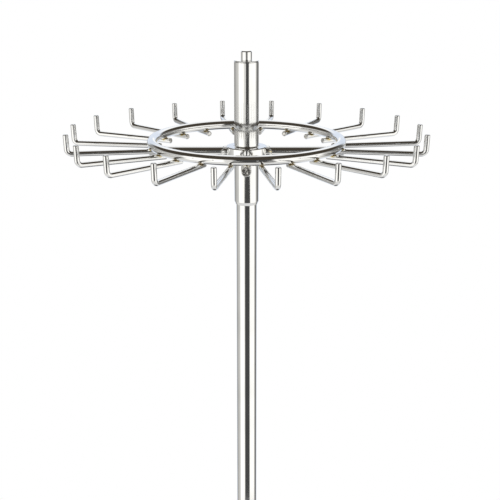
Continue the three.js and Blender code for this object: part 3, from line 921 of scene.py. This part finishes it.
class TIERACK_OT_base(bpy.types.Operator):
    """Make the base cover, bolt, washer and feet, and finish the weight"""

    bl_idname = "tie_rack.base"
    bl_label = "Base"

    def execute(self, context):
        sizes = context.scene.tie_rack_sizes
        self.cover(sizes)
        weight = frame["nodes"]["base_weight"]
        weight.data.materials.clear()
        weight.data.materials.append(bpy.data.materials["painted_cast_iron"])
        add_turned(sizes, "base_washer", "turned_zinc_plate", "zinc_steel", "stand")
        self.bolt(sizes)
        for name in FOOT_NODES:
            self.foot(name, sizes)
        return {"FINISHED"}

    def cover(self, sizes):
        """The spun dish: a flat middle, a low dome and an upright lip, in sheet."""
        low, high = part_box("base_cover")
        outer, flat, rim = width("base_cover"), sizes.cover_flat, sizes.cover_rim
        sides = []
        for layer in (0.0, sizes.cover_sheet):
            wide, tall = outer - layer - flat, high.z - layer - rim
            side = [Vector((sizes.cover_hole, high.z - layer))]
            for k in range(DOME_STEPS + 1):
                slope = math.pi / 2 * k / DOME_STEPS
                a = math.atan2(wide * math.sin(slope), tall * math.cos(slope))
                side.append(Vector((flat + wide * math.sin(a), rim + tall * math.cos(a))))
            sides.append(side + [Vector((outer - layer, low.z))])
        mesh = bmesh.new()
        turn(mesh, rounded(sides[0] + sides[1][::-1], sizes.turned_edge), sides=2 * TURNED_SIDES)
        add_piece("base_cover_spun", mesh, "polished_tube_chrome", "chrome_plate", "stand", "base_cover")

    def bolt(self, sizes):
        """A hexagon bolt with a chamfered head and a rolled thread."""
        low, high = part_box("base_bolt")
        flat = min(high.x - low.x, high.y - low.y) / 2
        chamfer = CHAMFER_START * flat
        shoulder = low.z + sizes.bolt_head
        shank = sizes.bolt / 2
        depth = THREAD_DEPTH * sizes.thread
        angles = [2 * math.pi * i / BOLT_SIDES for i in range(BOLT_SIDES)]
        hexagon = [flat / math.cos((a + math.pi / 6) % (math.pi / 3) - math.pi / 6) for a in angles]
        rows = [[(chamfer, low.z) for _ in angles],
                [(r, low.z + (r - chamfer) * math.tan(CHAMFER_SLOPE)) for r in hexagon],
                [(r, shoulder) for r in hexagon],
                [(shank, shoulder) for _ in angles]]
        steps = int((high.z - shoulder) / sizes.thread * THREAD_STEPS)
        for k in range(1, steps):
            height = shoulder + (high.z - shoulder) * k / steps
            fade = min(1.0, (height - shoulder) / sizes.thread, (high.z - height) / sizes.thread)
            row = []
            for a in angles:
                phase = (height / sizes.thread - a / (2 * math.pi)) % 1
                row.append((shank - depth * fade * (1 - abs(2 * phase - 1)), height))
            rows.append(row)
        rows.append([(shank - depth, high.z) for _ in angles])
        mesh = bmesh.new()
        rings = [[mesh.verts.new((r * math.cos(a), r * math.sin(a), z)) for a, (r, z) in zip(angles, row)]
                 for row in rows]
        mesh.faces.new(rings[0])
        mesh.faces.new(rings[-1])
        for one, other in zip(rings, rings[1:]):
            bridge(mesh, one, other)
        bolt = add_piece("base_bolt_threaded", mesh, "turned_zinc_plate", "zinc_steel", "stand", "base_bolt")
        bolt.data.set_sharp_from_angle(angle=SHARP_EDGE)

    def foot(self, name, sizes):
        """A moulded foot with rounded edges and a dished underside."""
        low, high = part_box(name)
        radius, dish = width(name), low.z + sizes.foot_dish
        corners = [Vector(corner) for corner in (
            (0, high.z), (radius, high.z), (radius, low.z),
            (DISH_RIM * radius, low.z), (DISH_FLOOR * radius, dish), (0, dish))]
        mesh = bmesh.new()
        turn(mesh, rounded(corners, sizes.foot_edge), sides=TURNED_SIDES // 2,
             place=((low.x + high.x) / 2, (low.y + high.y) / 2))
        add_piece(name + "_moulded", mesh, "moulded_rubber", "rubber", "stand", name)


class TIERACK_OT_stage(bpy.types.Operator):
    """Make the paper floor, the studio's lamps and walls, and the camera"""

    bl_idname = "tie_rack.stage"
    bl_label = "Stage"

    def execute(self, context):
        studio = context.scene.tie_rack_studio
        self.floor(studio)
        self.lamps(context.scene, studio)
        self.walls(context.scene)
        self.camera(context.scene, studio)
        context.scene.view_settings.view_transform = "Standard"
        return {"FINISHED"}

    def floor(self, studio):
        """A round sheet of paper under the feet."""
        studio_paper(studio)
        mesh = bmesh.new()
        bmesh.ops.create_circle(mesh, cap_ends=True, segments=FLOOR_SIDES, radius=studio.floor_radius)
        link_object("paper_floor", mesh, "matt_grey_paper")

    def lamps(self, scene, studio):
        """Two large soft lamps that light the floor and the matt pieces, and don't show in the chrome."""
        for name, (place, size, share) in LAMPS.items():
            lamp = bpy.data.lights.new(name, "AREA")
            lamp.shape = "DISK"
            lamp.size = size
            lamp.energy = share * studio.key_power
            made = bpy.data.objects.new(name, lamp)
            made.location = place
            made.rotation_euler = (LAMP_AIM - made.location).to_track_quat("-Z", "Y").to_euler()
            made.visible_glossy = False
            made.visible_camera = False
            scene.collection.objects.link(made)

    def walls(self, scene):
        """White to the camera, and in the chrome a pale room with a dark ceiling and a dark opening."""
        world = bpy.data.worlds.new("white_studio")
        world.use_nodes = True
        scene.world = world
        tree = world.node_tree
        tree.nodes.clear()
        way = node(tree, "TexCoord", out="Generated")
        x, y, z = node(tree, "SeparateXYZ", {"Vector": way}).node.outputs
        front = node(tree, "Math", {0: y, 1: -1.0}, operation="MULTIPLY")
        around = node(tree, "Math", {0: x, 1: front}, operation="ARCTAN2")
        angles = {
            "lift": node(tree, "Math", {0: z}, operation="ARCSINE"),
            "turned": node(tree, "Math", {0: around}, operation="ABSOLUTE"),
            "tilt": node(tree, "Math", {0: z, 1: front}, operation="ARCTAN2")}
        for name, (other, *degrees) in SPANS.items():
            start, end, first, last = map(math.radians, degrees)
            angles[name] = node(tree, "MapRange", {
                "Value": angles[other], "From Min": start, "From Max": end, "To Min": first, "To Max": last})
        half = node(tree, "Math", {0: angles["opening_half"], 1: angles["opening_foot"]}, operation="ADD")
        aside = node(tree, "Math", {0: around, 1: math.radians(OPENING_BEARING)}, operation="SUBTRACT")
        apart = node(tree, "Math", {0: aside}, operation="ABSOLUTE")
        angles["outside"] = node(tree, "Math", {0: apart, 1: half}, operation="SUBTRACT")
        angles["raised"] = node(tree, "Math", {0: angles["lift"], 1: angles["ceiling_drop"]},
                                operation="ADD")
        edges = {}
        for part, (across, start, full, blend) in EDGES.items():
            edges[part] = node(tree, "MapRange", {
                "Value": angles[across], "From Min": math.radians(start), "From Max": math.radians(full)},
                interpolation_type=blend)
        # Paper hangs from a roll overhead and sweeps forward low down, with the wall bare in between
        shown = node(tree, "Math", {0: edges["paper_hung"], 1: edges["paper_swept"]}, operation="MAXIMUM")
        sheet = node(tree, "Math", {0: edges["paper_sides"], 1: shown}, operation="MULTIPLY")
        over = node(tree, "Math", {0: edges["roll"], 1: edges["paper_sides"]}, operation="MULTIPLY")
        # A lamp lights the middle of the paper, which level tops such as the cap's show
        lift = math.radians(LAMP_LIFT)
        facing = node(tree, "VectorMath", {0: way, 1: (0, math.cos(lift), math.sin(lift))},
                      operation="DOT_PRODUCT")
        faint, full = (math.cos(math.radians(radius)) for radius in LAMP_RADII)
        glow = node(tree, "MapRange", {"Value": facing, "From Min": faint, "From Max": full},
                    interpolation_type="SMOOTHSTEP")
        paper = node(tree, "Mix", {"Factor": glow, "A": BACK_PAPER, "B": PAPER_LAMP}, data_type="RGBA")
        roll = node(tree, "Mix", {"Factor": edges["roll_lit"], "A": BACK_PAPER, "B": PAPER_ROLL},
                    data_type="RGBA")
        ceiling = node(tree, "Mix", {"Factor": over, "A": CEILING, "B": roll}, data_type="RGBA")
        share = node(tree, "MapRange", {"Value": around, "From Min": -math.pi, "From Max": math.pi})
        room = node(tree, "ValToRGB", {"Fac": share}, stops=[
            (place / 360 + 0.5, [bright * part for part in WALL_TINT]) for place, bright in WALLS])
        for cover, tint in ((edges["opening"], OPENING), (edges["far_floor"], FAR_FLOOR), (sheet, paper),
                            (edges["ceiling"], ceiling)):
            room = node(tree, "Mix", {"Factor": cover, "A": room, "B": tint}, data_type="RGBA")
        ray = node(tree, "LightPath").node.outputs
        mirrored = node(tree, "Math", {0: ray["Is Glossy Ray"], 1: ray["Is Transmission Ray"]},
                        operation="MAXIMUM")
        lit = node(tree, "Mix", {"Factor": mirrored, "A": AMBIENT, "B": room}, data_type="RGBA")
        seen = node(tree, "Mix", {"Factor": ray["Is Camera Ray"], "A": lit, "B": WHITE}, data_type="RGBA")
        back = node(tree, "Background", {"Color": seen, "Strength": 1.0})
        node(tree, "OutputWorld", {"Surface": back})

    def camera(self, scene, studio):
        """A camera at the photograph's viewing angle."""
        lens = bpy.data.cameras.new("photo_view")
        lens.lens = studio.focal_length
        camera = bpy.data.objects.new("photo_view", lens)
        camera.location = (studio.camera_aside, -studio.camera_back, PEG_PLANE + studio.camera_above)
        camera.rotation_euler = (math.pi / 2 - studio.camera_pitch, 0, 0)
        scene.collection.objects.link(camera)
        scene.camera = camera


class TIERACK_PT_rack(bpy.types.Panel):
    """Buttons that make the rack"""

    bl_idname = "TIERACK_PT_rack"
    bl_label = "Rotating Tie Rack"
    bl_space_type = "VIEW_3D"
    bl_region_type = "UI"
    bl_category = "Tie Rack"

    def draw(self, context):
        for maker in MAKERS:
            self.layout.operator(maker.bl_idname)


MAKERS = (
    TIERACK_OT_finishes, TIERACK_OT_pegs, TIERACK_OT_ring, TIERACK_OT_spokes, TIERACK_OT_hub,
    TIERACK_OT_welds, TIERACK_OT_bearing, TIERACK_OT_post, TIERACK_OT_base, TIERACK_OT_stage)
GROUPS = {
    "tie_rack_sizes": TieRackSizes, "tie_rack_finishes": TieRackFinishes, "tie_rack_studio": TieRackStudio}


def register():
    for made in (*GROUPS.values(), *MAKERS, TIERACK_PT_rack):
        bpy.utils.register_class(made)
    for name, group in GROUPS.items():
        setattr(bpy.types.Scene, name, PointerProperty(type=group))


def unregister():
    for name in GROUPS:
        delattr(bpy.types.Scene, name)
    for made in reversed((*GROUPS.values(), *MAKERS, TIERACK_PT_rack)):
        bpy.utils.unregister_class(made)


def main():
    register()
    bpy.ops.tie_rack.finishes()
    bpy.ops.tie_rack.pegs()
    bpy.ops.tie_rack.ring()
    bpy.ops.tie_rack.spokes()
    bpy.ops.tie_rack.hub()
    bpy.ops.tie_rack.welds()
    bpy.ops.tie_rack.bearing()
    bpy.ops.tie_rack.post()
    bpy.ops.tie_rack.base()
    bpy.ops.tie_rack.stage()


if __name__ == "__main__":
    main()
